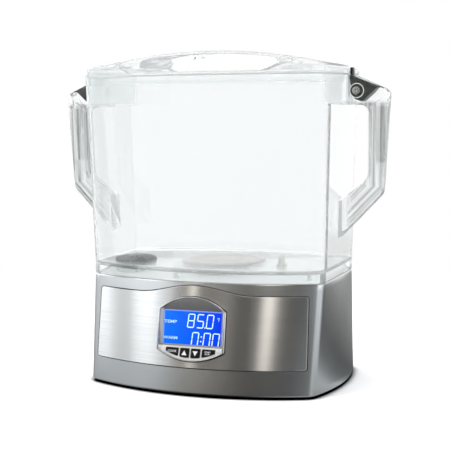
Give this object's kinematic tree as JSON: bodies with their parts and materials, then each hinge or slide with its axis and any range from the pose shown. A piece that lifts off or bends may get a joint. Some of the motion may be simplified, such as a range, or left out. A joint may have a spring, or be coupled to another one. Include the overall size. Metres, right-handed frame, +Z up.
{
  "type": "sous vide circulator",
  "caption": "Countertop sous vide water bath: clear latched tank with loop handles on a silver base with a blue display, steel front, heater and pump.",
  "frame": {"origin": "on the table, under the middle of the base", "axes": "+X to the right as seen by the user, +Y to the back, +Z up"},
  "size_m": [0.387, 0.2216, 0.3714],
  "materials": {
    "bezel": "dark grey gloss plastic",
    "board": "green circuit board",
    "clear": "clear polished copolyester",
    "dark": "fine matt black moulded plastic",
    "display": "blue backlit liquid crystal",
    "element": "oxidised sheath",
    "gasket": "red silicone",
    "housing": "satin silver-grey moulded plastic",
    "impeller": "blue moulded plastic",
    "key": "black plastic with white marks",
    "key_plate": "silver plastic",
    "magnet": "sintered ferrite",
    "motor": "grey zinc-plated can",
    "panel": "brushed stainless steel",
    "rubber": "black rubber",
    "seal": "dark grey silicone",
    "steel": "plain stainless steel",
    "trim": "bright satin metal"
  },
  "bodies": {
    "base": {"base_housing": "housing", "base_floor": "dark", "base_screws": "steel", "rubber_feet": "rubber", "front_panel": "panel", "bezel_trim": "trim", "display_bezel": "bezel", "key_plate": "key_plate", "lcd_window": "display", "lcd_module": "dark", "keypad_frame": "dark", "control_board": "board", "tact_switches": "dark", "dock_socket": "dark", "drive_motor": "motor", "motor_bracket": "steel", "power_board": "board", "cord_gland": "rubber"},
    "rotor": {"motor_shaft": "steel", "drive_magnet": "magnet"},
    "key_cook": {"key_cook": "key"},
    "key_up": {"key_up": "key"},
    "key_down": {"key_down": "key"},
    "key_start": {"key_start": "key"},
    "tank": {"tank": "clear", "handle_left": "clear", "handle_right": "clear", "heater_plate": "steel", "heater_gasket": "gasket", "heating_element": "element", "pump_cover": "dark", "impeller_pin": "steel", "temperature_probe": "steel", "dock_plug": "dark", "underside_cover": "dark", "cover_screws": "steel", "latch_pin_left": "steel", "latch_pin_right": "steel"},
    "impeller": {"impeller": "impeller"},
    "lid": {"lid": "clear", "lid_seal": "seal"},
    "latch_left": {"latch_left": "dark"},
    "latch_right": {"latch_right": "dark"}
  },
  "joints": [
    {"name": "tank_lift", "type": "slide", "parent": "base", "child": "tank", "axis": [0, 0, 1], "range_m": [0, 0.12]},
    {"name": "lid_lift", "type": "slide", "parent": "tank", "child": "lid", "axis": [0, 0, 1], "range_m": [0, 0.08]},
    {"name": "latch_left_turn", "type": "hinge", "parent": "tank", "child": "latch_left", "pos_m": [-0.1595, 0, 0.326], "axis": [0, -1, 0], "range_deg": [0, 18]},
    {"name": "latch_right_turn", "type": "hinge", "parent": "tank", "child": "latch_right", "pos_m": [0.1595, 0, 0.326], "axis": [0, 1, 0], "range_deg": [0, 18]},
    {"name": "key_cook_press", "type": "slide", "parent": "base", "child": "key_cook", "axis": [0, 0.9844, -0.1757], "range_m": [0, 0.0012], "stiffness_N_per_m": 400, "springref_m": -0.0005},
    {"name": "key_up_press", "type": "slide", "parent": "base", "child": "key_up", "axis": [0, 0.9844, -0.1757], "range_m": [0, 0.0012], "stiffness_N_per_m": 400, "springref_m": -0.0005},
    {"name": "key_down_press", "type": "slide", "parent": "base", "child": "key_down", "axis": [0, 0.9844, -0.1757], "range_m": [0, 0.0012], "stiffness_N_per_m": 400, "springref_m": -0.0005},
    {"name": "key_start_press", "type": "slide", "parent": "base", "child": "key_start", "axis": [0, 0.9844, -0.1757], "range_m": [0, 0.0012], "stiffness_N_per_m": 400, "springref_m": -0.0005},
    {"name": "motor_spin", "type": "hinge", "parent": "base", "child": "rotor", "pos_m": [-0.098, -0.028, 0.1], "axis": [0, 0, 1], "continuous": true},
    {"name": "impeller_spin", "type": "hinge", "parent": "tank", "child": "impeller", "pos_m": [-0.098, -0.028, 0.125], "axis": [0, 0, 1], "continuous": true}
  ],
  "couplings": [
    {"joint": "impeller_spin", "follows": "motor_spin", "ratio": 1}
  ]
}
